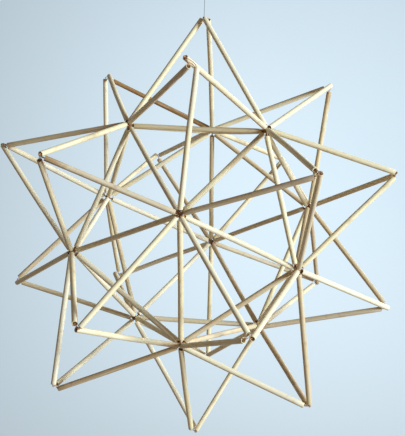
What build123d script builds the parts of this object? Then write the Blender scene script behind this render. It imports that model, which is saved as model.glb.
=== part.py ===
from build123d import *
import math
import os
from itertools import combinations

# A himmeli star: an icosahedron of hollow straws with a tripod of three straws on each of its faces,
# tied with thread and hung by the tip of its top spike. Millimetres, +Z up, its front towards -Y.
# The origin is the inside top of the hanging loop, where it bears on its hook.

# Straws
EDGE = 107.0  # from one meeting point of straws to the next
STRAW_DIAMETER = 4.2
STRAW_WALL = 0.5
STRAW_CLEARANCE = 0.1  # least gap between two straws
TIP_SHORT = 2.6  # from the tip of a spike to the end of a straw in it
SETTLE_STEP = 0.1  # by which a straw is drawn back until it clears its neighbours
PASSING_MARGIN = 1.02  # on the side step that just lets three straws pass each other
SPLICE_FROM_TIP = 40.0  # length of the outer piece of the straw that is made of two
SPLICE_GAP = 0.5

# Binding thread and its knots
THREAD_DIAMETER = 0.5
THREAD_LEAD = 1.2  # stands straight out of a straw's mouth before it turns
THREAD_CLEARANCE = 0.2  # from a straw that the thread bends round
KNOT_CLEARANCE = 0.4  # from a knot to the inside of the straw's mouth it sits in
KNOT_PROUD = 0.8  # from that mouth out to the middle of the knot
JOIN_GAP = 0.05  # from the end of a thread to its knot

# Hanging thread and loop
HANGING_THREAD_DIAMETER = 0.4
HANGING_THREAD_LENGTH = 32.0
HANGING_KNOT_DIAMETER = 1.6
HOOK_DIAMETER = 6.0  # of the hook that the top of the loop lies round
LOOP_HEIGHT = 22.0  # from the hook to the middle of the hanging knot
LOOP_FOOT_SPACING = 0.6  # between the loop's two strands where they reach the knot

# How the star was tied by hand. Shifts are right and up, in millimetres from the regular star.
CORNER_SHIFTS = {
    "top_1": (-1, 1),
    "upper_2": (0, 2),
    "lower_1": (-4, -1),
    "lower_3": (-2, 1),
    "bottom_2": (-2, 1),
}
TIP_SHIFTS = {
    "spike_top": (-3, 3),
    "spike_shoulder_1": (4.5, -1.5),
    "spike_shoulder_2": (2, -1),
    "spike_shoulder_3": (3, -1),
    "spike_upper_1": (-1, -2),
    "spike_upper_2": (-2, -1),
    "spike_upper_3": (0, 2),
    "spike_upper_4": (-2, 1),
    "spike_upper_5": (-1, 4),
    "spike_lower_1": (-2.5, -1),
    "spike_lower_2": (0, 0.5),
    "spike_lower_3": (1, 3),
    "spike_lower_4": (5, -2),
    "spike_lower_6": (0, -2),
    "spike_hip_1": (2, 2),
    "spike_hip_2": (0, -2),
    "spike_hip_3": (-2.5, -1),
    "spike_bottom": (6, 3),
}
# The share of a full side step by which the straws of a spike pass beside its tip
TIP_TWISTS = {
    "spike_top": -1,
    "spike_shoulder_1": 1.5,
    "spike_shoulder_3": 0.75,
    "spike_upper_1": 0.5,
    "spike_upper_3": 0.5,
    "spike_upper_4": 0.5,
    "spike_upper_5": -0.5,
    "spike_lower_1": -0.5,
    "spike_lower_3": 0.5,
    "spike_lower_4": 1,
    "spike_lower_5": -0.5,
    "spike_lower_6": -0.75,
    "spike_hip_2": 0.5,
    "spike_hip_3": -0.5,
    "spike_bottom": 1,
}
# How much further out than the rest a straw reaches, by its spike and the corner at its foot
STRAW_REACHES = {
    ("spike_shoulder_1", "upper_1"): 1,
    ("spike_shoulder_1", "top_1"): 7,
    ("spike_shoulder_1", "top_3"): 4,
    ("spike_shoulder_2", "top_1"): 4,
    ("spike_shoulder_3", "top_2"): -4,
    ("spike_upper_1", "lower_1"): 2,
    ("spike_upper_5", "lower_3"): 4,
    ("spike_lower_1", "upper_1"): -2,
    ("spike_lower_1", "lower_1"): -2,
    ("spike_lower_1", "bottom_1"): -3,
    ("spike_lower_2", "upper_2"): -3,
    ("spike_lower_2", "lower_1"): 3,
    ("spike_lower_2", "bottom_2"): -1,
    ("spike_lower_3", "upper_2"): 2,
    ("spike_lower_5", "lower_3"): 2,
    ("spike_hip_3", "lower_3"): -2,
    ("spike_hip_3", "bottom_1"): -2,
    ("spike_hip_3", "bottom_3"): -4,
    ("spike_bottom", "bottom_1"): 1,
    ("spike_bottom", "bottom_2"): 2,
}
SPLICED_STRAW = ("spike_shoulder_3", "top_2")

# Sizes that follow
bore_radius = STRAW_DIAMETER / 2 - STRAW_WALL
straw_spacing = STRAW_DIAMETER + STRAW_CLEARANCE
seat_height = STRAW_DIAMETER / 2  # the spikes are tied on over the ends of the core's straws
spike_height = EDGE * math.sqrt(2 / 3)
side_step = PASSING_MARGIN * straw_spacing * math.sqrt(3 / 8)
knot_radius = bore_radius - KNOT_CLEARANCE
thread_radius = THREAD_DIAMETER / 2
hanging_knot_radius = HANGING_KNOT_DIAMETER / 2
hanging_thread_top = -LOOP_HEIGHT - hanging_knot_radius - JOIN_GAP
hanging_thread_bottom = hanging_thread_top - HANGING_THREAD_LENGTH
apex_height = hanging_thread_bottom - JOIN_GAP - knot_radius


def regular_corners():
    """The icosahedron's corners about its own centre, in four level rings of three."""
    golden = (1 + math.sqrt(5)) / 2
    narrow = EDGE / math.sqrt(3)
    wide = narrow * golden
    high = narrow * golden**2 / 2
    low = narrow / golden / 2
    rings = {
        "top": (narrow, high, -30),
        "upper": (wide, low, -90),
        "lower": (wide, -low, -30),
        "bottom": (narrow, -high, -90),
    }
    corners = {}
    for ring, (radius, height, first_angle) in rings.items():
        for k in range(3):
            turn = math.radians(first_angle + 120 * k)
            corners[f"{ring}_{k + 1}"] = Vector(radius * math.cos(turn), radius * math.sin(turn), height)
    return corners


def are_neighbours(names):
    """Whether every two of these corners are one edge apart."""
    lengths = [(regular[a] - regular[b]).length for a, b in combinations(names, 2)]
    return all(abs(length - EDGE) < EDGE / 100 for length in lengths)


def middle(points):
    """The mean of some points."""
    return sum(points, Vector()) / len(points)


def bearing(names):
    """Degrees round from the front to the middle of some corners, counted from just before the front."""
    point = middle([regular[name] for name in names])
    return (math.degrees(math.atan2(point.X, -point.Y)) + 1) % 360


def numbered(prefix, groups, word_for):
    """Names for groups of corners: the word for their rings, numbered round from the front."""
    words = {}
    for group in groups:
        rings = tuple(corner.split("_")[0] for corner in group)
        words.setdefault(word_for(rings), []).append(group)
    names = {}
    for word, alike in words.items():
        for k, group in enumerate(sorted(alike, key=bearing), 1):
            number = f"_{k}" if len(alike) > 1 else ""
            names[f"{prefix}_{word}{number}"] = group
    return names


def core_word(rings):
    """The word for a core straw that joins two rings, or lies in one."""
    return "_".join(dict.fromkeys(rings))


def spike_word(rings):
    """The word for a spike on a face whose corners are in these rings."""
    words = {
        ("top", "top", "top"): "top",
        ("top", "top", "upper"): "shoulder",
        ("top", "upper", "lower"): "upper",
        ("upper", "lower", "bottom"): "lower",
        ("lower", "bottom", "bottom"): "hip",
        ("bottom", "bottom", "bottom"): "bottom",
    }
    return words[rings]


def shifted(point, shift):
    """A point moved right and up."""
    right, up = shift
    return point + Vector(right, 0, up)


def drawn_back(start, end, at_start, at_end):
    """The line between two points, shortened at both ends."""
    along = (end - start).normalized()
    return Line(start + along * at_start, end - along * at_end)


def clearing_length(directions):
    """How far from their meeting point straws end so that the two at the least angle just clear."""
    least = min(a.get_angle(b) for a, b in combinations(directions, 2))
    return straw_spacing / 2 / math.tan(math.radians(least / 2))


def settled(rails, wanted):
    """Straw lines from beside a tip to their seats, each drawn back until it clears those before it."""
    lines = {}
    for corner in sorted(rails, key=wanted.get):
        start, seat = rails[corner]
        back = wanted[corner]
        line = drawn_back(start, seat, back, 0)
        while any(line.distance_to(other) < straw_spacing for other in lines.values()):
            back += SETTLE_STEP
            line = drawn_back(start, seat, back, 0)
        lines[corner] = line
    return lines


def spike_lines(name, face):
    """Lines of a spike's straws from tip to seat, the one that reaches furthest first."""
    face_middle = middle([regular[corner] for corner in face])
    out = face_middle.normalized()
    tip = shifted(face_middle + out * spike_height, TIP_SHIFTS.get(name, (0, 0)))
    rails = {}
    wanted = {}
    for corner in face:
        aside = out.cross(seats[corner] - tip).normalized()
        rails[corner] = (tip + aside * side_step * TIP_TWISTS.get(name, 0), seats[corner])
        wanted[corner] = TIP_SHORT - STRAW_REACHES.get((name, corner), 0)
    return settled(rails, wanted)


def rod(start, end, diameter):
    """A solid round rod between two points."""
    along = end - start
    return extrude(Plane(start, z_dir=along) * Circle(diameter / 2), along.length)


def ball(centre, radius):
    """A ball about a point."""
    return Pos(centre) * Sphere(radius)


def straw(line):
    """A hollow straw along a line."""
    section = Circle(STRAW_DIAMETER / 2) - Circle(bore_radius)
    return extrude(Plane(line @ 0, z_dir=line % 0) * section, line.length)


def spliced(line):
    """The two lines of a straw made of two lengths, end to end."""
    inner_length = line.length - SPLICE_FROM_TIP
    outer_piece = drawn_back(line @ 0, line @ 1, 0, inner_length + SPLICE_GAP / 2)
    inner_piece = drawn_back(line @ 0, line @ 1, SPLICE_FROM_TIP + SPLICE_GAP / 2, 0)
    return [outer_piece, inner_piece]


def thread(points):
    """A thread from knot to knot, bent at the points between, that stops just short of both knots."""
    short = knot_radius + JOIN_GAP
    first = drawn_back(points[0], points[1], short, 0) @ 0
    last = drawn_back(points[-2], points[-1], 0, short) @ 1
    path = Polyline(first, *points[1:-1], last) if len(points) > 2 else Line(first, last)
    section = Plane(first, z_dir=points[1] - first) * Circle(THREAD_DIAMETER / 2)
    return sweep(section, path=path, transition=Transition.RIGHT)


def spike_threads(lines, tip_knot):
    """Threads of a spike: straight to the knot in the leading straw, and over that straw's rim in the others."""
    leading, *others = lines
    threads = [thread([core_knots[leading], tip_knot])]
    lead_mouth = lines[leading] @ 0
    lead_along = lines[leading] % 0
    rim_radius = STRAW_DIAMETER / 2 + THREAD_CLEARANCE + thread_radius
    for corner in others:
        bend = lines[corner] @ 0 - lines[corner] % 0 * THREAD_LEAD
        away = bend - lead_mouth
        away = (away - lead_along * away.dot(lead_along)).normalized()
        threads.append(thread([core_knots[corner], bend, tip_knot + away * rim_radius, tip_knot]))
    return threads


def hanging_loop():
    """The loop: two strands up from the hanging knot, round the top of the hook."""
    radius = (HOOK_DIAMETER + HANGING_THREAD_DIAMETER) / 2
    centre = Vector(0, 0, -HOOK_DIAMETER / 2)
    foot = Vector(LOOP_FOOT_SPACING / 2, 0, -LOOP_HEIGHT + hanging_knot_radius + JOIN_GAP)
    reach = foot - centre
    turn = math.atan2(reach.Z, reach.X) + math.acos(radius / reach.length)
    side = centre + Vector(math.cos(turn), 0, math.sin(turn)) * radius
    crown = centre + Vector(0, 0, radius)
    far_foot = Vector(-foot.X, 0, foot.Z)
    far_side = Vector(-side.X, 0, side.Z)
    path = Wire([Line(foot, side), ThreePointArc(side, crown, far_side), Line(far_side, far_foot)])
    return sweep(Plane(foot, z_dir=side - foot) * Circle(HANGING_THREAD_DIAMETER / 2), path=path)


def write(node, solids):
    """Write the solids of a node to its own file."""
    shape = Compound(solids)
    shape.label = node
    export_step(shape, f"parts/{node}.step")


# Corners of the core, with the seats of the spikes and the knots just outside them
regular = regular_corners()
core_pairs = numbered("core", filter(are_neighbours, combinations(regular, 2)), core_word)
spike_faces = numbered("spike", filter(are_neighbours, combinations(regular, 3)), spike_word)
corners = {name: shifted(point, CORNER_SHIFTS.get(name, (0, 0))) for name, point in regular.items()}
seats = {name: corners[name] + regular[name].normalized() * seat_height for name in regular}
core_knots = {name: middle([corners[name], seats[name]]) for name in regular}

# Core straws, drawn back from the corners that they meet at
core_back = {}
for name in corners:
    pairs = [pair for pair in core_pairs.values() if name in pair]
    far_ends = [corners[b if a == name else a] for a, b in pairs]
    core_back[name] = clearing_length([far_end - corners[name] for far_end in far_ends])
core_lines = {}
for name, (a, b) in core_pairs.items():
    core_lines[name] = drawn_back(corners[a], corners[b], core_back[a], core_back[b])

# Spike straws, drawn back from their seats in the same way
spikes = {name: spike_lines(name, face) for name, face in spike_faces.items()}
for corner in corners:
    around = [lines for lines in spikes.values() if corner in lines]
    seat_back = clearing_length([lines[corner] % 1 for lines in around])
    for lines in around:
        lines[corner] = drawn_back(lines[corner] @ 0, lines[corner] @ 1, 0, seat_back)

# Each tip's knot sits in the mouth of the straw that reaches furthest
tip_knots = {}
for name, lines in spikes.items():
    leading = next(iter(lines.values()))
    tip_knots[name] = leading @ 0 - leading % 0 * KNOT_PROUD

# The star hangs with its middle of mass straight under the knot at its apex
all_lines = list(core_lines.values()) + [line for lines in spikes.values() for line in lines.values()]
straw_length = sum(line.length for line in all_lines)
mass_middle = sum([(line @ 0.5) * line.length for line in all_lines], Vector()) / straw_length
apex = tip_knots.pop("spike_top")
upright = apex - mass_middle
as_tied = Plane(apex, x_dir=Vector(0, 1, 0).cross(upright), z_dir=upright)
hung = Pos(0, 0, apex_height) * as_tied.location.inverse()

# The solids of each node, in the frame the star was tied in
star = {name: [straw(line)] for name, line in core_lines.items()}
for name, lines in spikes.items():
    pieces = []
    for corner, line in lines.items():
        pieces += spliced(line) if (name, corner) == SPLICED_STRAW else [line]
    star[name] = [straw(piece) for piece in pieces]
star["core_threads"] = [thread([core_knots[a], core_knots[b]]) for a, b in core_pairs.values()]
star["spike_threads"] = []
for name, lines in spikes.items():
    star["spike_threads"] += spike_threads(lines, tip_knots.get(name, apex))
star["core_knots"] = [ball(point, knot_radius) for point in core_knots.values()]
star["tip_knots"] = [ball(point, knot_radius) for point in tip_knots.values()]
star["apex_knot"] = [ball(apex, knot_radius)]

os.makedirs("parts", exist_ok=True)
for node, solids in star.items():
    write(node, [hung * solid for solid in solids])
write("hanging_thread", [rod(Vector(0, 0, hanging_thread_bottom), Vector(0, 0, hanging_thread_top),
                             HANGING_THREAD_DIAMETER)])
write("hanging_knot", [ball(Vector(0, 0, -LOOP_HEIGHT), hanging_knot_radius)])
write("hanging_loop", [hanging_loop()])
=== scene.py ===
"""Himmeli star: hollow straws, binding thread, knots and a hanging loop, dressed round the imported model."""
import math
import random

import bmesh
import bpy
from mathutils import Matrix, Vector


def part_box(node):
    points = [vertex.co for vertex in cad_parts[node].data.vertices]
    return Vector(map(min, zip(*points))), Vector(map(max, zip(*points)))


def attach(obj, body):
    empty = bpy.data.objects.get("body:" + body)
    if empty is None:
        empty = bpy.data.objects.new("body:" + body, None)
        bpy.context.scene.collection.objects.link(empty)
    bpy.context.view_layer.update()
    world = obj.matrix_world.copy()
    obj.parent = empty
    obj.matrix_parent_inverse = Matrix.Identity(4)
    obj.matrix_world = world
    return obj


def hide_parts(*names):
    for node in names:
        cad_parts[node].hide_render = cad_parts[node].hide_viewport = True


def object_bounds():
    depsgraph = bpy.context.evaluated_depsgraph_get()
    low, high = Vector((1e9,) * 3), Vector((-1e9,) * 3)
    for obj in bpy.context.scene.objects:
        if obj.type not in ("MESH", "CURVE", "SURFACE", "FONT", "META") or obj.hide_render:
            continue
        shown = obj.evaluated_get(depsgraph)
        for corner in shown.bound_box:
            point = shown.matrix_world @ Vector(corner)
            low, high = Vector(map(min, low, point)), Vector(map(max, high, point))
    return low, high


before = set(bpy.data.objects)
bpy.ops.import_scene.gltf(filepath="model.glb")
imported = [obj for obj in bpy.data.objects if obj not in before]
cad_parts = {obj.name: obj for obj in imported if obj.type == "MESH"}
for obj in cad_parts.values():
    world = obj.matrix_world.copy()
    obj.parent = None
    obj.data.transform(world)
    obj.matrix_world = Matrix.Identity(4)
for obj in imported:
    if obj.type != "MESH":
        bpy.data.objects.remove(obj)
cad_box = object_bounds()

bl_info = {
    "name": "Himmeli star",
    "version": (1, 0, 0),
    "blender": (4, 5, 0),
    "location": "View3D > Sidebar > Himmeli",
    "description": "Dresses a hanging straw star with modelled straws, threads and knots",
    "category": "Object",
}

MM = 0.001
STAR_BODY = "star"
THREAD_NODES = ("core_threads", "spike_threads")
KNOT_NODES = ("core_knots", "tip_knots", "apex_knot")
HANGING_NODES = ("hanging_loop", "hanging_knot", "hanging_thread")
STRAW_NODES = sorted(set(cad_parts) - set(THREAD_NODES + KNOT_NODES + HANGING_NODES))
CORE_NODES = [node for node in STRAW_NODES if node.startswith("core_")]
SPIKE_NODES = [node for node in STRAW_NODES if node.startswith("spike_")]
FORWARD = Vector((3, 7, 4))  # the way in which the straws of a node are counted, and run from start to end
MERGE_DISTANCE = 0.01 * MM

# Seeds of the random draws
KIND_SEED = 7
CORE_SEED = 21
SPIKE_SEED = 22
KNOT_SEED = 5
HANGING_SEED = 3

# How straws vary
THINNEST_STRAW = 0.94  # of the diameter
LEAST_BOW = 0.3  # of the most
BOW_REACH = 0.9  # of the way from a straw's middle to its end
FLATTEST_MOUTH = 0.96  # of a round mouth's width
MOUTH_WIDTHS = 1.98  # a mouth's two widths together, of a round mouth's width

# Edges sharper than these are rounded, or left sharp when the rest is shaded smooth
RIM_ANGLE = math.radians(50)
SMOOTH_ANGLE = math.radians(40)

# A knot's strand is a trefoil that reaches this far across, and dips this far, before it is scaled
TREFOIL_REACH = 3
TREFOIL_DIP = 1.9

# Cells of noise round a straw, along it, and from one straw's seed to another's
FIBRES = (70, 5, 90)
BANDS = (16, 3, 90)
MOTTLE = (3, 16, 90)
PITH_FIBRES = (40, 6, 90)

# Levels of noise from which, and up to which, a mark on a straw grows
GOLDEN_LEVELS = (0.4, 1.0)
SPOT_LEVELS = (0.58, 0.78)
STAIN_AND_SHADE_LEVELS = (0.1, 0.5)
FIBRE_LEVELS = (0.5, 0.8)
CUT_LEVELS = (0.4, 0.75)
GLOSS_LEVELS = (0.2, 0.8)

# How golden straws are, how rough, and how strongly their marks show
TONES = (0.3, 0.72)
ROUGHNESS = (0.36, 0.55)
SPOT_STRENGTH = 0.35
FIBRE_STRENGTH = 0.42
PITH_SHADE = 0.5

# Scales of the noise in cut ends and thread, and of the waves that are a thread's plies
CUT_FIBRES = (4000, 4000, 4000)
FUZZ = (5000, 5000, 5000)
PLIES = 900.0
PLY_LIGHT = 1.7  # how much lighter a thread is on its plies

# The stage: share of the fill that it throws back on the star, steps of its sweep, and slack at its corner
THROWN_BACK = 0.4
SWEEP_STEPS = 16
CORNER_SLACK = 10 * MM

# Control points of the hanging loop, across and up, in millimetres from the inside of its top
LOOP_ROUTE = [
    (0.3, -21.15), (2.8, -5.9), (3.4, -2.05), (1.5, 0.2),
    (-1.5, 0.2), (-3.4, -2.05), (-2.8, -5.9), (-0.3, -21.15)]

# Straws browned all along, by node and place in it, and how strongly: partly weathering, partly painted shade
WEATHERING_AND_SHADE = {
    ("core_bottom_1", 0): 0.35,
    ("core_bottom_2", 0): 0.15,
    ("core_lower_bottom_1", 0): 0.5,
    ("core_lower_bottom_3", 0): 0.5,
    ("core_top_1", 0): 0.25,
    ("core_top_lower_2", 0): 0.3,
    ("core_top_upper_3", 0): 0.45,
    ("core_top_upper_6", 0): 0.2,
    ("core_upper_bottom_1", 0): 0.15,
    ("core_upper_bottom_3", 0): 0.3,
    ("core_upper_lower_2", 0): 0.6,
    ("core_upper_lower_3", 0): 0.35,
    ("core_upper_lower_6", 0): 0.1,
    ("spike_bottom", 2): 0.1,
    ("spike_hip_1", 1): 0.45,
    ("spike_hip_1", 2): 0.6,
    ("spike_hip_3", 0): 0.7,
    ("spike_lower_2", 1): 0.4,
    ("spike_lower_2", 2): 0.45,
    ("spike_lower_3", 0): 0.15,
    ("spike_lower_3", 1): 0.25,
    ("spike_lower_3", 2): 0.6,
    ("spike_lower_5", 1): 0.2,
    ("spike_lower_5", 2): 0.5,
    ("spike_shoulder_1", 1): 0.35,
    ("spike_shoulder_1", 2): 0.15,
    ("spike_shoulder_2", 1): 0.3,
    ("spike_shoulder_3", 2): 1.0,
    ("spike_shoulder_3", 3): 1.0,
    ("spike_top", 2): 0.15,
    ("spike_upper_1", 0): 0.55,
    ("spike_upper_1", 1): 0.3,
    ("spike_upper_2", 2): 0.35,
    ("spike_upper_3", 0): 0.2,
    ("spike_upper_3", 2): 0.15,
    ("spike_upper_4", 1): 0.35,
    ("spike_upper_5", 1): 0.4,
    ("spike_upper_6", 0): 0.15,
    ("spike_upper_6", 1): 0.4,
}

# Browner patches on a straw: millimetres from its start, reach to each side, and strength
PATCHES = {
    ("core_top_upper_1", 0): (86, 34, 0.4),
    ("spike_lower_6", 0): (94, 18, 0.5),
    ("spike_shoulder_2", 1): (92, 12, 0.7),
    ("spike_upper_6", 0): (0, 3, 0.8),
    ("spike_upper_6", 1): (3, 14, 0.9),
}
PATCH_FADE = 4 * MM


# Settings

class HimmeliStraw(bpy.types.PropertyGroup):
    """Sizes and colours of the straws"""
    diameter: bpy.props.FloatProperty(
        name="Diameter", description="Outside of a straw", default=4.2 * MM, unit="LENGTH")
    wall: bpy.props.FloatProperty(
        name="Wall", description="Thickness of a straw's wall", default=0.5 * MM, unit="LENGTH")
    length: bpy.props.FloatProperty(
        name="Length", description="Length that a straw is modelled at", default=100 * MM, unit="LENGTH")
    shortening: bpy.props.FloatProperty(
        name="Shortening", description="Kept off each end, for its slanting cut",
        default=0.15 * MM, unit="LENGTH")
    sides: bpy.props.IntProperty(name="Sides", description="Faces round a straw", default=28)
    rings: bpy.props.IntProperty(name="Rings", description="Cuts along a straw", default=11)
    bow: bpy.props.FloatProperty(
        name="Bow", description="Most that a straw's middle strays", default=0.45 * MM, unit="LENGTH")
    slant: bpy.props.FloatProperty(
        name="Slant", description="Most that a cut end slants", default=math.radians(5), subtype="ANGLE")
    rim: bpy.props.FloatProperty(
        name="Rim", description="Rounding of a cut end", default=0.09 * MM, unit="LENGTH")
    kinds: bpy.props.IntProperty(
        name="Kinds", description="How many straws are modelled and then copied", default=6)
    thin_share: bpy.props.FloatProperty(
        name="Thin share", description="Thickness of the spliced straw's outer piece",
        default=0.9, subtype="FACTOR")
    pale: bpy.props.FloatVectorProperty(
        name="Pale", description="Ripest straw", default=(0.89, 0.90, 0.82), subtype="COLOR")
    golden: bpy.props.FloatVectorProperty(
        name="Golden", description="Ordinary straw", default=(0.86, 0.78, 0.49), subtype="COLOR")
    # Brown is the colour of weathering, and also of painted shade on some straws.
    brown: bpy.props.FloatVectorProperty(
        name="Brown", description="Weathered straw", default=(0.40, 0.235, 0.095), subtype="COLOR")
    # Painted shade: the inside of a straw is painted dark brown for the shade in its bore.
    pith_painted_shade: bpy.props.FloatVectorProperty(
        name="Pith", description="Inside of a straw", default=(0.16, 0.095, 0.05), subtype="COLOR")
    cut: bpy.props.FloatVectorProperty(
        name="Cut", description="Cut end of a straw", default=(0.88, 0.80, 0.58), subtype="COLOR")


class HimmeliThread(bpy.types.PropertyGroup):
    """Sizes and colours of the threads and knots"""
    strand_share: bpy.props.FloatProperty(
        name="Strand share", description="Thickness of a knot's strand, of the whole knot",
        default=0.2, subtype="FACTOR")
    knot_points: bpy.props.IntProperty(
        name="Knot points", description="Points along a knot's strand", default=30)
    corner_fullness: bpy.props.FloatProperty(
        name="Corner fullness", description="How far a corner's knot swells past its ball", default=2.0)
    binding: bpy.props.FloatProperty(
        name="Binding thread", description="Thickness of the binding thread",
        default=0.5 * MM, unit="LENGTH")
    lead: bpy.props.FloatProperty(
        name="Lead", description="How far a thread stands out of a mouth before it turns",
        default=1.2 * MM, unit="LENGTH")
    hold: bpy.props.FloatProperty(
        name="Hold", description="How far inside its mouth a straw holds a thread straight",
        default=4 * MM, unit="LENGTH")
    rim_clearance: bpy.props.FloatProperty(
        name="Rim clearance", description="From a straw's rim to a thread that passes over it",
        default=0.2 * MM, unit="LENGTH")
    corner_reach: bpy.props.FloatProperty(
        name="Corner reach", description="How far from a corner's knot its straws end at most",
        default=9 * MM, unit="LENGTH")
    lacing_side: bpy.props.FloatProperty(
        name="Lacing side", description="How far from the middle of a mouth the lacing leaves it",
        default=0.7 * MM, unit="LENGTH")
    lacing_pull: bpy.props.FloatProperty(
        name="Lacing pull", description="How far the lacing is drawn in towards its knot",
        default=0.5, subtype="FACTOR")
    hanging: bpy.props.FloatProperty(
        name="Hanging thread", description="Thickness of the hanging thread",
        default=0.4 * MM, unit="LENGTH")
    binding_color: bpy.props.FloatVectorProperty(
        name="Binding colour", description="Binding thread", default=(0.43, 0.25, 0.13), subtype="COLOR")
    hanging_color: bpy.props.FloatVectorProperty(
        name="Hanging colour", description="Hanging thread", default=(0.20, 0.22, 0.25), subtype="COLOR")


class HimmeliStage(bpy.types.PropertyGroup):
    """Backdrop, lights and camera"""
    backdrop_color: bpy.props.FloatVectorProperty(
        name="Backdrop", description="Pale wall and floor", default=(0.715, 0.865, 0.97), subtype="COLOR")
    dull_color: bpy.props.FloatVectorProperty(
        name="Dull backdrop", description="The wall's own paint, away from its glow",
        default=(0.21, 0.262, 0.30), subtype="COLOR")
    backdrop_width: bpy.props.FloatProperty(
        name="Backdrop width", description="Side to side", default=3.6, unit="LENGTH")
    wall_distance: bpy.props.FloatProperty(
        name="Wall distance", description="Behind the star", default=1.5, unit="LENGTH")
    wall_height: bpy.props.FloatProperty(
        name="Wall height", description="Above the floor", default=3.2, unit="LENGTH")
    sweep: bpy.props.FloatProperty(
        name="Sweep", description="Rounding from the floor into the wall", default=0.6, unit="LENGTH")
    floor_drop: bpy.props.FloatProperty(
        name="Floor drop", description="Below the star", default=0.4, unit="LENGTH")
    glow_place: bpy.props.FloatVectorProperty(
        name="Glow", description="Where the wall is brightest", default=(-0.03, 1.5, -0.30), subtype="XYZ")
    glow: bpy.props.FloatProperty(
        name="Glow level", description="How brightly the wall shows there", default=0.80)
    glow_reach: bpy.props.FloatProperty(
        name="Glow reach", description="How far from there the wall is half as bright",
        default=1.2, unit="LENGTH")
    key_from: bpy.props.FloatVectorProperty(
        name="Key light from", description="Direction from the star to the key light",
        default=(0.89, -0.43, 0.18), subtype="DIRECTION")
    key_distance: bpy.props.FloatProperty(
        name="Key distance", description="From the star", default=4.0, unit="LENGTH")
    key_size: bpy.props.FloatProperty(
        name="Key size", description="Across the light", default=0.9, unit="LENGTH")
    key_watts: bpy.props.FloatProperty(
        name="Key strength", description="In watts", default=210.0, unit="POWER")
    key_color: bpy.props.FloatVectorProperty(
        name="Key colour", description="Of the key light", default=(0.87, 0.95, 1.0), subtype="COLOR")
    back_from: bpy.props.FloatVectorProperty(
        name="Back light from", description="Direction from the star to the back light",
        default=(0.5, 0.8, 0.35), subtype="DIRECTION")
    back_distance: bpy.props.FloatProperty(
        name="Back distance", description="From the star", default=1.3, unit="LENGTH")
    back_watts: bpy.props.FloatProperty(
        name="Back strength", description="In watts", default=8.0, unit="POWER")
    fill_strength: bpy.props.FloatProperty(name="Fill", description="Light from all round", default=0.17)
    fill_color: bpy.props.FloatVectorProperty(
        name="Fill colour", description="Of the light from all round",
        default=(1.0, 0.77, 0.60), subtype="COLOR")
    camera_place: bpy.props.FloatVectorProperty(
        name="Camera", description="Where the camera stands",
        default=(0.1017, -0.7585, -0.1463), subtype="XYZ")
    camera_target: bpy.props.FloatVectorProperty(
        name="Target", description="What the camera looks at",
        default=(0.0040, 0.0014, -0.2160), subtype="XYZ")
    camera_roll: bpy.props.FloatProperty(
        name="Roll", description="Tilt of the camera about its view",
        default=math.radians(1.95), subtype="ANGLE")
    lens: bpy.props.FloatProperty(
        name="Lens", description="On a sensor 36 mm wide", default=84.3, unit="CAMERA")


# Selecting and editing

def only(*pieces):
    """Select these objects and no others, the first of them active."""
    bpy.ops.object.select_all(action="DESELECT")
    for piece in pieces:
        piece.select_set(True)
    bpy.context.view_layer.objects.active = pieces[0]


def pick(piece, test, kind="VERT"):
    """In edit mode, select the vertices or edges that pass a test, and no others."""
    bpy.ops.mesh.select_mode(type=kind)
    bpy.ops.mesh.select_all(action="DESELECT")
    shape = bmesh.from_edit_mesh(piece.data)
    for item in shape.edges if kind == "EDGE" else shape.verts:
        if test(item):
            item.select_set(True)
    bmesh.update_edit_mesh(piece.data)


def apply_modifier(piece, kind, **settings):
    """Add a modifier with these settings and apply it."""
    only(piece)
    modifier = piece.modifiers.new(kind.lower(), kind)
    for name, value in settings.items():
        setattr(modifier, name, value)
    bpy.ops.object.modifier_apply(modifier=modifier.name)


def copy_of(piece, name):
    """A copy of a piece with a mesh of its own."""
    twin = piece.copy()
    twin.data = piece.data.copy()
    twin.name = name
    bpy.context.scene.collection.objects.link(twin)
    return twin


def joined(pieces, name):
    """Several pieces joined into one."""
    only(*pieces)
    if len(pieces) > 1:
        bpy.ops.object.join()
    whole = bpy.context.object
    whole.name = name
    return whole


def paint(piece, *materials):
    """Give a piece these materials and no others."""
    piece.data.materials.clear()
    for material in materials:
        piece.data.materials.append(material)


def dress(piece, node, body=STAR_BODY):
    """Let a finished piece stand for a node, which it hides, and ride on its body."""
    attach(piece, body)
    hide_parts(node)


def solids_of(node):
    """The points of each separate solid in a node."""
    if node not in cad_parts:
        raise RuntimeError(f"the packed model has no {node}")
    shape = bmesh.new()
    shape.from_mesh(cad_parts[node].data)
    bmesh.ops.remove_doubles(shape, verts=shape.verts, dist=MERGE_DISTANCE)
    shape.verts.index_update()
    left = set(shape.verts)
    solids = []
    for first in shape.verts:
        if first not in left:
            continue
        left.remove(first)
        reached = [first]
        for vertex in reached:
            beside = {edge.other_vert(vertex) for edge in vertex.link_edges}
            fresh = sorted(beside & left, key=lambda other: other.index)
            left.difference_update(fresh)
            reached.extend(fresh)
        solids.append([vertex.co.copy() for vertex in reached])
    shape.free()
    return solids


def mean(points):
    """The middle of some points."""
    return sum(points, Vector()) / len(points)


# Materials

def add_node(tree, kind, inputs=None, **settings):
    """A shader node with its settings, its input values and its links."""
    made = tree.nodes.new(kind)
    for name, value in settings.items():
        setattr(made, name, value)
    for name, value in (inputs or {}).items():
        if isinstance(value, bpy.types.NodeSocket):
            tree.links.new(value, made.inputs[name])
        else:
            made.inputs[name].default_value = value
    return made


def opaque(color):
    """A colour with full alpha."""
    return (*color, 1.0)


def shaded(color, share):
    """A colour made lighter or darker, and no lighter than white."""
    return tuple(min(1.0, share * part) for part in color)


def mix_color(tree, share, first, second):
    """Two colours mixed by a share."""
    made = add_node(tree, "ShaderNodeMix", {0: share, 6: first, 7: second}, data_type="RGBA")
    return made.outputs[2]


def work_out(tree, operation, *values):
    """The result of a sum on values or sockets, kept from 0 to 1."""
    made = add_node(tree, "ShaderNodeMath", dict(enumerate(values)), operation=operation, use_clamp=True)
    return made.outputs[0]


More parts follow.
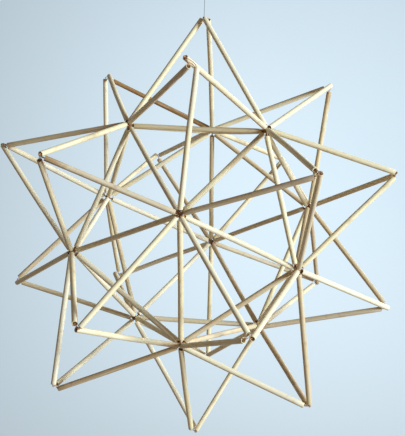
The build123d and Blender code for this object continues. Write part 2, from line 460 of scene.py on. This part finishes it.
def spread(tree, value, low, high, to_low=0.0, to_high=1.0):
    """A value spread out so that low and high become to_low and to_high."""
    inputs = {"Value": value, "From Min": low, "From Max": high, "To Min": to_low, "To Max": to_high}
    return add_node(tree, "ShaderNodeMapRange", inputs).outputs[0]


def streaks(tree, place, scale, detail=3.0):
    """Noise drawn out by a scale for each direction."""
    stretched = add_node(tree, "ShaderNodeMapping", {"Vector": place, "Scale": scale}).outputs[0]
    noise = add_node(tree, "ShaderNodeTexNoise", {"Vector": stretched, "Scale": 1.0, "Detail": detail})
    return noise.outputs["Fac"]


def raise_surface(tree, shader, height, strength, distance):
    """Let a shader's surface stand up with a height."""
    bump = add_node(tree, "ShaderNodeBump", {"Height": height, "Strength": strength, "Distance": distance})
    tree.links.new(bump.outputs[0], shader.inputs["Normal"])


def new_material(name):
    """A material with its node tree and its shader."""
    material = bpy.data.materials.new(name)
    material.use_nodes = True
    return material, material.node_tree, material.node_tree.nodes["Principled BSDF"]


def straw_place(tree):
    """Place round and along a straw, set apart by the straw's own seed, with its tone and its browning,
    partly stains and partly painted shade.
    """
    tint = add_node(tree, "ShaderNodeAttribute", attribute_name="tint")
    parts = add_node(tree, "ShaderNodeSeparateColor", {"Color": tint.outputs["Color"]})
    tone, stain_and_shade, seed = (parts.outputs[name] for name in ("Red", "Green", "Blue"))
    uv = add_node(tree, "ShaderNodeUVMap", uv_map="UVMap")
    flat = add_node(tree, "ShaderNodeSeparateXYZ", {"Vector": uv.outputs[0]})
    place = add_node(
        tree, "ShaderNodeCombineXYZ", {"X": flat.outputs[0], "Y": flat.outputs[1], "Z": seed})
    return place.outputs[0], tone, stain_and_shade


def straw_skin(sizes):
    """The waxy outside of a straw: fibres along it, paler and browner stretches, and browning that is partly
    weathering and partly painted shade.
    """
    material, tree, shader = new_material("straw_skin")
    place, tone, stain_and_shade = straw_place(tree)
    fibres = streaks(tree, place, FIBRES)
    bands = streaks(tree, place, BANDS)
    mottle = streaks(tree, place, MOTTLE, detail=4.0)
    depth = work_out(tree, "ADD", spread(tree, tone, 0.0, 1.0, *TONES), spread(tree, bands, *GOLDEN_LEVELS))
    ripe = mix_color(tree, depth, opaque(sizes.pale), opaque(sizes.golden))
    spots = work_out(tree, "MULTIPLY", spread(tree, mottle, *SPOT_LEVELS), SPOT_STRENGTH)
    # Painted shade and stains: the listed straws are browned, partly for weathering, partly as painted shade.
    stained_and_shaded = work_out(tree, "MULTIPLY", stain_and_shade, spread(tree, bands, *STAIN_AND_SHADE_LEVELS))
    weathered_and_shaded = mix_color(tree, work_out(tree, "ADD", spots, stained_and_shaded), ripe, opaque(sizes.brown))
    lines = work_out(tree, "MULTIPLY", spread(tree, fibres, *FIBRE_LEVELS), FIBRE_STRENGTH)
    tree.links.new(mix_color(tree, lines, weathered_and_shaded, opaque(sizes.brown)), shader.inputs["Base Color"])
    tree.links.new(spread(tree, bands, *GLOSS_LEVELS, *ROUGHNESS), shader.inputs["Roughness"])
    raise_surface(tree, shader, fibres, strength=0.2, distance=0.1 * MM)
    shader.inputs["Specular IOR Level"].default_value = 0.12
    return material


def straw_pith_painted_shade(sizes):
    """The dull inside of a straw, painted dark brown as the shade in its bore."""
    material, tree, shader = new_material("straw_pith_painted_shade")
    place, tone, _ = straw_place(tree)
    share = work_out(tree, "MULTIPLY", streaks(tree, place, PITH_FIBRES), tone)
    color = mix_color(tree, share, opaque(sizes.pith_painted_shade), opaque(shaded(sizes.pith_painted_shade, PITH_SHADE)))
    tree.links.new(color, shader.inputs["Base Color"])
    shader.inputs["Roughness"].default_value = 0.85
    shader.inputs["Specular IOR Level"].default_value = 0.2
    return material


def straw_cut(sizes):
    """The pale cut end of a straw, with the ends of its fibres."""
    material, tree, shader = new_material("straw_cut")
    coordinates = add_node(tree, "ShaderNodeTexCoord")
    fibres = streaks(tree, coordinates.outputs["Object"], CUT_FIBRES, detail=2.0)
    color = mix_color(tree, spread(tree, fibres, *CUT_LEVELS), opaque(sizes.cut), opaque(sizes.golden))
    tree.links.new(color, shader.inputs["Base Color"])
    shader.inputs["Roughness"].default_value = 0.8
    return material


def spun_thread(name, color):
    """Twisted thread: slanting plies and a little fuzz."""
    material, tree, shader = new_material(name)
    coordinates = add_node(tree, "ShaderNodeTexCoord")
    wave = add_node(
        tree, "ShaderNodeTexWave",
        {"Vector": coordinates.outputs["Object"], "Scale": PLIES, "Distortion": 1.5, "Detail": 1.0},
        bands_direction="DIAGONAL")
    plies = wave.outputs["Fac"]
    share = work_out(tree, "MULTIPLY", plies, streaks(tree, coordinates.outputs["Object"], FUZZ))
    light = opaque(shaded(color, PLY_LIGHT))
    tree.links.new(mix_color(tree, share, opaque(color), light), shader.inputs["Base Color"])
    raise_surface(tree, shader, plies, strength=0.5, distance=0.05 * MM)
    shader.inputs["Roughness"].default_value = 0.95
    shader.inputs["Specular IOR Level"].default_value = 0.0
    return material


# Straws

def straw_lines(node):
    """The start and end of each straw in a node, measured on its solids."""
    lines = []
    for points in solids_of(node):
        middle = mean(points)
        along = max(points, key=lambda point: (point - middle).length) - middle
        near = [point for point in points if (point - middle).dot(along) < 0]
        far = [point for point in points if (point - middle).dot(along) >= 0]
        lines.append(sorted((mean(near), mean(far)), key=FORWARD.dot))
    lines.sort(key=lambda line: FORWARD.dot(line[0] + line[1]))
    return lines


def model_straw(sizes, number, chance):
    """One straw along Z: a tube cut into rings, bowed, cut at a slant at both ends and given its wall."""
    half = sizes.length / 2
    bpy.ops.object.select_all(action="DESELECT")
    bpy.ops.mesh.primitive_cylinder_add(
        vertices=sizes.sides, radius=sizes.diameter / 2, depth=sizes.length, end_fill_type="NOTHING")
    straw = bpy.context.object
    straw.name = f"straw_kind_{number}"
    bpy.ops.object.mode_set(mode="EDIT")
    pick(straw, lambda edge: abs(edge.verts[0].co.z - edge.verts[1].co.z) > half, "EDGE")
    bpy.ops.mesh.subdivide(number_cuts=sizes.rings)
    ring_slack = half / (sizes.rings + 1)
    pick(straw, lambda vertex: abs(vertex.co.z) < ring_slack)
    bpy.ops.transform.translate(
        value=(chance.uniform(LEAST_BOW, 1.0) * sizes.bow, 0, 0), use_proportional_edit=True,
        proportional_edit_falloff="SMOOTH", proportional_size=BOW_REACH * half)
    for end in (-1, 1):
        centre = (0, 0, end * half)
        pick(straw, lambda vertex: vertex.co.z * end > half - ring_slack)
        lean = chance.uniform(-1, 1) * sizes.slant
        bpy.ops.transform.rotate(value=lean, orient_axis=chance.choice("XY"), center_override=centre)
        oval = chance.uniform(FLATTEST_MOUTH, 1.0)
        bpy.ops.transform.resize(value=(oval, MOUTH_WIDTHS - oval, 1), center_override=centre)
    bpy.ops.object.mode_set(mode="OBJECT")
    apply_modifier(
        straw, "SOLIDIFY", thickness=sizes.wall, offset=-1, use_even_offset=True,
        material_offset=1, material_offset_rim=2)
    apply_modifier(straw, "BEVEL", width=sizes.rim, segments=2, limit_method="ANGLE", angle_limit=RIM_ANGLE)
    bpy.ops.object.shade_smooth_by_angle(angle=SMOOTH_ANGLE)
    return straw


def straw_kinds(sizes):
    """The straws that all others are copied from, with their materials."""
    names = ("straw_skin", "straw_pith_painted_shade", "straw_cut")
    makers = (straw_skin, straw_pith_painted_shade, straw_cut)
    finishes = [bpy.data.materials.get(name) or maker(sizes) for name, maker in zip(names, makers)]
    chance = random.Random(KIND_SEED)
    kinds = [model_straw(sizes, number, chance) for number in range(1, sizes.kinds + 1)]
    for kind in kinds:
        paint(kind, *finishes)
    return kinds


def stain_and_shade_at(distance, straw_key):
    """How browned a straw is at a distance from its start: partly weathering and stains, partly painted
    shade.
    """
    stain_and_shade = WEATHERING_AND_SHADE.get(straw_key, 0.0)
    if straw_key in PATCHES:
        place, reach, strength = PATCHES[straw_key]
        fade = (reach * MM - abs(distance - place * MM)) / PATCH_FADE
        stain_and_shade = max(stain_and_shade, strength * min(1.0, max(0.0, fade)))
    return stain_and_shade


def lay_straw(kind, sizes, line, chance, thickness, straw_key):
    """A copy of a straw laid along a line, with its own tone, browning (partly stains, partly painted shade)
    and seed.
    """
    start, end = line
    along = end - start
    straw = copy_of(kind, "straw")
    stretch = (along.length - 2 * sizes.shortening) / sizes.length
    flip = Matrix.Rotation(chance.choice((0, math.pi)), 4, "X")
    spin = Matrix.Rotation(chance.uniform(0, math.tau), 4, "Z")
    turn = along.to_track_quat("Z", "Y").to_matrix().to_4x4() @ flip @ spin
    size = Matrix.Diagonal((thickness, thickness, stretch, 1.0))
    straw.data.transform(Matrix.Translation((start + end) / 2) @ turn @ size)
    tone = chance.random()
    seed = chance.random()
    tint = straw.data.attributes.new("tint", "FLOAT_COLOR", "POINT")
    forward = along.normalized()
    for vertex, cell in zip(straw.data.vertices, tint.data):
        cell.color = (tone, stain_and_shade_at((vertex.co - start).dot(forward), straw_key), seed, 1.0)
    return straw


def lay_nodes(sizes, nodes, chance):
    """The straws of some nodes, one piece for each node."""
    kinds = straw_kinds(sizes)
    for node in nodes:
        lines = straw_lines(node)
        longest = max((end - start).length for start, end in lines)
        straws = []
        for place, line in enumerate(lines):
            is_outer_splice = (line[1] - line[0]).length < longest / 2
            thickness = sizes.thin_share if is_outer_splice else chance.uniform(THINNEST_STRAW, 1.0)
            straws.append(lay_straw(chance.choice(kinds), sizes, line, chance, thickness, (node, place)))
        dress(joined(straws, f"{node}_straws"), node)
    for kind in kinds:
        bpy.data.objects.remove(kind)


class HIMMELI_OT_core_straws(bpy.types.Operator):
    """Model the thirty straws of the core"""
    bl_idname = "himmeli.core_straws"
    bl_label = "Core straws"

    def execute(self, context):
        lay_nodes(context.scene.himmeli_straw, CORE_NODES, random.Random(CORE_SEED))
        return {"FINISHED"}


class HIMMELI_OT_spike_straws(bpy.types.Operator):
    """Model the three straws of each spike"""
    bl_idname = "himmeli.spike_straws"
    bl_label = "Spike straws"

    def execute(self, context):
        lay_nodes(context.scene.himmeli_straw, SPIKE_NODES, random.Random(SPIKE_SEED))
        return {"FINISHED"}


# Threads and knots

def strand_curve(name, points, thickness, closed=False):
    """A round strand along the smooth line of some control points."""
    curve = bpy.data.curves.new(name, "CURVE")
    curve.dimensions = "3D"
    curve.bevel_depth = thickness / 2
    curve.bevel_resolution = 2
    curve.resolution_u = 4
    curve.use_fill_caps = True
    spline = curve.splines.new("NURBS")
    spline.points.add(len(points) - 1)
    for control, point in zip(spline.points, points):
        control.co = (*point, 1.0)
    spline.order_u = 3
    spline.use_cyclic_u = closed
    spline.use_endpoint_u = not closed
    strand = bpy.data.objects.new(name, curve)
    bpy.context.scene.collection.objects.link(strand)
    return strand


def model_knot(settings, radius):
    """A tied knot that fills a ball: a strand over and under itself, round a core and an upright thread."""
    strand = settings.strand_share * 2 * radius
    size = (radius - strand / 2) / TREFOIL_REACH
    points = []
    for k in range(settings.knot_points):
        turn = math.tau * k / settings.knot_points
        across = math.sin(turn) + 2 * math.sin(2 * turn)
        over = math.cos(turn) - 2 * math.cos(2 * turn)
        points.append(Vector((across, over, -TREFOIL_DIP * math.sin(3 * turn))) * size)
    knot = strand_curve("knot_strand", points, strand, closed=True)
    end = Vector((0, 0, radius))
    through = strand_curve("knot_through", [-end, Vector(), end], min(strand, settings.hanging))
    only(knot, through)
    bpy.ops.object.convert(target="MESH")
    bpy.ops.object.select_all(action="DESELECT")
    bpy.ops.mesh.primitive_ico_sphere_add(subdivisions=2, radius=radius - strand)
    whole = joined([knot, through, bpy.context.object], "knot_kind")
    bpy.ops.object.shade_smooth()
    return whole


def tie_knots(settings, node, material, chance, body=STAR_BODY, fullness=1.0):
    """A knot in place of each ball of a node, upright where there is only one."""
    balls = solids_of(node)
    radius = (balls[0][0] - mean(balls[0])).length
    kind = model_knot(settings, fullness * radius)
    paint(kind, material)
    knots = []
    for ball in balls:
        knot = copy_of(kind, "knot")
        spin = Matrix.Rotation(chance.uniform(0, math.tau), 4, "Z")
        tilt = Matrix.Rotation(chance.uniform(0, math.pi) if len(balls) > 1 else 0, 4, "X")
        knot.data.transform(Matrix.Translation(mean(ball)) @ spin @ tilt)
        knots.append(knot)
    bpy.data.objects.remove(kind)
    piece = joined(knots, f"{node}_tied")
    dress(piece, node, body)
    return piece


def knot_middles(*nodes):
    """The middles of the knots in some nodes."""
    return [mean(ball) for node in nodes for ball in solids_of(node)]


def nearest(point, places):
    """The one of some places that is nearest to a point."""
    return min(places, key=lambda place: (place - point).length)


def spike_straws(node, corners):
    """The straws of a spike as lines from the core's corner to the tip, a spliced one whole."""
    def off_corner(point):
        """How far a point is from the nearest corner."""
        return (nearest(point, corners) - point).length

    pieces = [sorted(line, key=off_corner) for line in straw_lines(node)]
    pieces.sort(key=lambda piece: off_corner(piece[0]))
    whole = pieces[:3]
    for outer in pieces[3:]:
        inner = min(whole, key=lambda piece: (piece[1] - outer[0]).length)
        inner[1] = outer[1]
    return whole


def mouth_of(near, far):
    """The near mouth of a straw, with the direction into the straw."""
    return near, (far - near).normalized()


def lacing(settings, first, second, knot):
    """Route of a thread out of one straw's mouth and into another's, drawn in towards their knot."""
    side = (second[0] - first[0]).normalized() * settings.lacing_side
    leaves = first[0] + side
    enters = second[0] - side
    turn = ((leaves + enters) / 2).lerp(knot, settings.lacing_pull)
    return [leaves + first[1] * settings.hold, leaves, turn, enters, enters + second[1] * settings.hold]


def corner_routes(settings, corner, out, mouths):
    """Routes that lace the straws round a corner of the core, each to the next."""
    right = out.orthogonal()
    up = out.cross(right)
    around = [mouth for mouth in mouths if (mouth[0] - corner).length < settings.corner_reach]
    around.sort(key=lambda mouth: math.atan2((mouth[0] - corner).dot(up), (mouth[0] - corner).dot(right)))
    return [lacing(settings, around[k - 1], around[k], corner) for k in range(len(around))]


def core_routes(settings, core, spikes, corners):
    """Routes of the core's threads: through each of its straws, then laced round each corner."""
    routes = [[nearest(start, corners), (start + end) / 2, nearest(end, corners)] for start, end in core]
    mouths = [mouth_of(*ends) for start, end in core for ends in ((start, end), (end, start))]
    mouths += [mouth_of(*straw) for straws in spikes for straw in straws]
    for corner in corners:
        routes += corner_routes(settings, corner, corner - mean(corners), mouths)
    return routes


def tip_routes(settings, straws, rim_radius, corners, tip):
    """Routes of a spike's threads: straight to the knot in one mouth, and over its rim from the others."""
    lead, *others = sorted(straws, key=lambda straw: (straw[1] - tip).length)
    lead_along = (lead[0] - lead[1]).normalized()
    routes = [[nearest(lead[0], corners), (lead[0] + lead[1]) / 2, tip]]
    for foot, mouth in others:
        along = (foot - mouth).normalized()
        bend = mouth - along * settings.lead
        away = bend - lead[1]
        away = (away - lead_along * away.dot(lead_along)).normalized()
        over_rim = tip + away * rim_radius
        routes.append([nearest(foot, corners), mouth + along * settings.hold, bend, over_rim, tip])
    mouths = [mouth_of(mouth, foot) for foot, mouth in others]
    routes.append(lacing(settings, *mouths, tip))
    return routes


def spike_routes(settings, spikes, rim_radius, corners, tips):
    """Routes of the threads of all spikes."""
    routes = []
    for straws in spikes:
        tip = nearest(mean([mouth for _, mouth in straws]), tips)
        routes += tip_routes(settings, straws, rim_radius, corners, tip)
    return routes


def spin_threads(settings, node, routes, material):
    """Binding thread along some routes, in place of a node."""
    strands = [strand_curve("strand", route, settings.binding) for route in routes]
    only(*strands)
    bpy.ops.object.convert(target="MESH")
    piece = joined(strands, f"{node}_spun")
    bpy.ops.object.shade_smooth()
    paint(piece, material)
    dress(piece, node)


class HIMMELI_OT_binding(bpy.types.Operator):
    """Run the binding thread through the straws, lace the corners and tie the knots"""
    bl_idname = "himmeli.binding"
    bl_label = "Binding thread and knots"

    def execute(self, context):
        settings = context.scene.himmeli_thread
        material = spun_thread("binding_thread", settings.binding_color)
        corners = knot_middles("core_knots")
        tips = knot_middles("tip_knots", "apex_knot")
        core = [line for node in CORE_NODES for line in straw_lines(node)]
        spikes = [spike_straws(node, corners) for node in SPIKE_NODES]
        rim_radius = context.scene.himmeli_straw.diameter / 2 + settings.rim_clearance + settings.binding / 2
        routes = core_routes(settings, core, spikes, corners)
        spin_threads(settings, "core_threads", routes, material)
        routes = spike_routes(settings, spikes, rim_radius, corners, tips)
        spin_threads(settings, "spike_threads", routes, material)
        chance = random.Random(KNOT_SEED)
        for node in KNOT_NODES:
            fullness = settings.corner_fullness if node == "core_knots" else 1.0
            tie_knots(settings, node, material, chance, fullness=fullness)
        return {"FINISHED"}


class HIMMELI_OT_hanging(bpy.types.Operator):
    """Hang the star: its thread, the knot above it and the loop"""
    bl_idname = "himmeli.hanging"
    bl_label = "Hanging thread and loop"

    def execute(self, context):
        settings = context.scene.himmeli_thread
        thickness = settings.hanging
        material = spun_thread("hanging_thread", settings.hanging_color)
        chance = random.Random(HANGING_SEED)
        knot = tie_knots(settings, "hanging_knot", material, chance, "knot")
        low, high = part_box("hanging_thread")
        bottom = Vector((0, 0, low.z))
        top = Vector((0, 0, high.z))
        thread = strand_curve("hanging_thread_spun", [bottom, (bottom + top) / 2, top], thickness)
        paint(thread, material)
        dress(thread, "hanging_thread", "thread")
        route = [Vector((across, 0, up)) * MM for across, up in LOOP_ROUTE]
        loop = strand_curve("hanging_loop_spun", route, thickness)
        paint(loop, material)
        dress(loop, "hanging_loop", "loop")
        return {"FINISHED"}


# Stage

def seen_rays(tree):
    """Whether a ray comes from the camera, or off or through something that shows the background."""
    path = add_node(tree, "ShaderNodeLightPath").outputs
    camera_or_glossy = work_out(tree, "MAXIMUM", path["Is Camera Ray"], path["Is Glossy Ray"])
    return work_out(tree, "MAXIMUM", camera_or_glossy, path["Is Transmission Ray"])


def backdrop_paint(settings):
    """Pale paint that glows for the camera, most behind the star, takes shadows and is clear from behind."""
    material, tree, shader = new_material("backdrop_paint")
    place = add_node(tree, "ShaderNodeTexCoord").outputs["Object"]
    away = add_node(tree, "ShaderNodeVectorMath", {0: place, 1: settings.glow_place}, operation="DISTANCE")
    fall = spread(tree, away.outputs["Value"], 0.0, settings.glow_reach, settings.glow, settings.glow / 2)
    fall.node.interpolation_type = "SMOOTHSTEP"
    seen = seen_rays(tree)
    shader.inputs["Emission Color"].default_value = opaque(settings.backdrop_color)
    tree.links.new(work_out(tree, "MULTIPLY", seen, fall), shader.inputs["Emission Strength"])
    warm = opaque(shaded(settings.fill_color, THROWN_BACK))
    paint_color = mix_color(tree, seen, warm, opaque(settings.dull_color))
    tree.links.new(paint_color, shader.inputs["Base Color"])
    shader.inputs["Roughness"].default_value = 1.0
    shader.inputs["Specular IOR Level"].default_value = 0.0
    back = add_node(tree, "ShaderNodeNewGeometry").outputs["Backfacing"]
    clear = add_node(tree, "ShaderNodeBsdfTransparent").outputs[0]
    both = add_node(tree, "ShaderNodeMixShader", {0: back, 1: shader.outputs[0], 2: clear})
    tree.links.new(both.outputs[0], tree.nodes["Material Output"].inputs["Surface"])
    return material


def model_backdrop(settings):
    """A floor that sweeps up into a wall behind the star."""
    def at_corner(edge):
        """Whether an edge lies where the floor meets the wall."""
        return all(vertex.co.y > 0 and abs(vertex.co.z) < CORNER_SLACK for vertex in edge.verts)

    floor = cad_box[0].z - settings.floor_drop
    depth = 2 * settings.wall_distance
    bpy.ops.object.select_all(action="DESELECT")
    bpy.ops.mesh.primitive_plane_add(size=1, location=(0, 0, floor))
    backdrop = bpy.context.object
    backdrop.name = "backdrop"
    bpy.ops.object.mode_set(mode="EDIT")
    bpy.ops.transform.resize(value=(settings.backdrop_width, depth, 1), center_override=(0, 0, floor))
    pick(backdrop, lambda edge: min(vertex.co.y for vertex in edge.verts) > 0, "EDGE")
    bpy.ops.mesh.extrude_region_move(TRANSFORM_OT_translate={"value": (0, 0, settings.wall_height)})
    pick(backdrop, at_corner, "EDGE")
    bpy.ops.mesh.bevel(offset=settings.sweep, segments=SWEEP_STEPS)
    bpy.ops.object.mode_set(mode="OBJECT")
    bpy.ops.object.transform_apply(location=True, rotation=True, scale=True)
    bpy.ops.object.shade_smooth()
    paint(backdrop, backdrop_paint(settings))


def soft_light(name, towards, distance, size, watts, color):
    """A round light that shines on the star from one side."""
    low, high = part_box("core_knots")
    towards = Vector(towards).normalized()
    bpy.ops.object.select_all(action="DESELECT")
    bpy.ops.object.light_add(type="AREA", location=(low + high) / 2 + towards * distance)
    light = bpy.context.object
    light.name = name
    light.rotation_euler = towards.to_track_quat("Z", "Y").to_euler()
    light.visible_camera = False
    light.data.shape = "DISK"
    light.data.size = size
    light.data.energy = watts
    light.data.color = color


def set_lights(settings):
    """A key light from the right, a weak one from behind, and a room warm to the star, pale when seen."""
    soft_light(
        "key_light", settings.key_from, settings.key_distance, settings.key_size, settings.key_watts,
        settings.key_color)
    soft_light(
        "back_light", settings.back_from, settings.back_distance, settings.key_size, settings.back_watts,
        settings.fill_color)
    world = bpy.data.worlds.new("room")
    world.use_nodes = True
    bpy.context.scene.world = world
    tree = world.node_tree
    seen = seen_rays(tree)
    background = tree.nodes["Background"]
    color = mix_color(tree, seen, opaque(settings.fill_color), opaque(settings.backdrop_color))
    tree.links.new(color, background.inputs["Color"])
    tree.links.new(spread(tree, seen, 0.0, 1.0, settings.fill_strength, 1.0), background.inputs["Strength"])


def set_camera(settings):
    """The camera, at the photograph's viewing angle."""
    place = Vector(settings.camera_place)
    towards = Vector(settings.camera_target) - place
    bpy.ops.object.select_all(action="DESELECT")
    bpy.ops.object.camera_add(location=place)
    camera = bpy.context.object
    turn = towards.to_track_quat("-Z", "Y").to_matrix() @ Matrix.Rotation(settings.camera_roll, 3, "Z")
    camera.rotation_euler = turn.to_euler()
    camera.data.sensor_fit = "HORIZONTAL"
    camera.data.sensor_width = 36.0
    camera.data.lens = settings.lens
    bpy.context.scene.camera = camera


class HIMMELI_OT_stage(bpy.types.Operator):
    """Set up the backdrop, the lights and the camera"""
    bl_idname = "himmeli.stage"
    bl_label = "Stage"

    def execute(self, context):
        settings = context.scene.himmeli_stage
        context.scene.view_settings.view_transform = "Standard"
        model_backdrop(settings)
        set_lights(settings)
        set_camera(settings)
        return {"FINISHED"}


class HIMMELI_PT_panel(bpy.types.Panel):
    """Lists the steps that build the star"""
    bl_label = "Himmeli star"
    bl_space_type = "VIEW_3D"
    bl_region_type = "UI"
    bl_category = "Himmeli"

    def draw(self, context):
        for step in STEPS:
            self.layout.operator(step.bl_idname)


STEPS = (
    HIMMELI_OT_stage, HIMMELI_OT_hanging, HIMMELI_OT_binding,
    HIMMELI_OT_core_straws, HIMMELI_OT_spike_straws)
SETTINGS = {"himmeli_straw": HimmeliStraw, "himmeli_thread": HimmeliThread, "himmeli_stage": HimmeliStage}
CLASSES = (*SETTINGS.values(), *STEPS, HIMMELI_PT_panel)


def register():
    """Register the settings, the steps and the panel."""
    for each in CLASSES:
        bpy.utils.register_class(each)
    for name, group in SETTINGS.items():
        setattr(bpy.types.Scene, name, bpy.props.PointerProperty(type=group))


def unregister():
    """Take everything away again."""
    for name in SETTINGS:
        delattr(bpy.types.Scene, name)
    for each in reversed(CLASSES):
        bpy.utils.unregister_class(each)


def main():
    """Build the star."""
    register()
    bpy.ops.himmeli.stage()
    bpy.ops.himmeli.hanging()
    bpy.ops.himmeli.binding()
    bpy.ops.himmeli.core_straws()
    bpy.ops.himmeli.spike_straws()


if __name__ == "__main__":
    main()
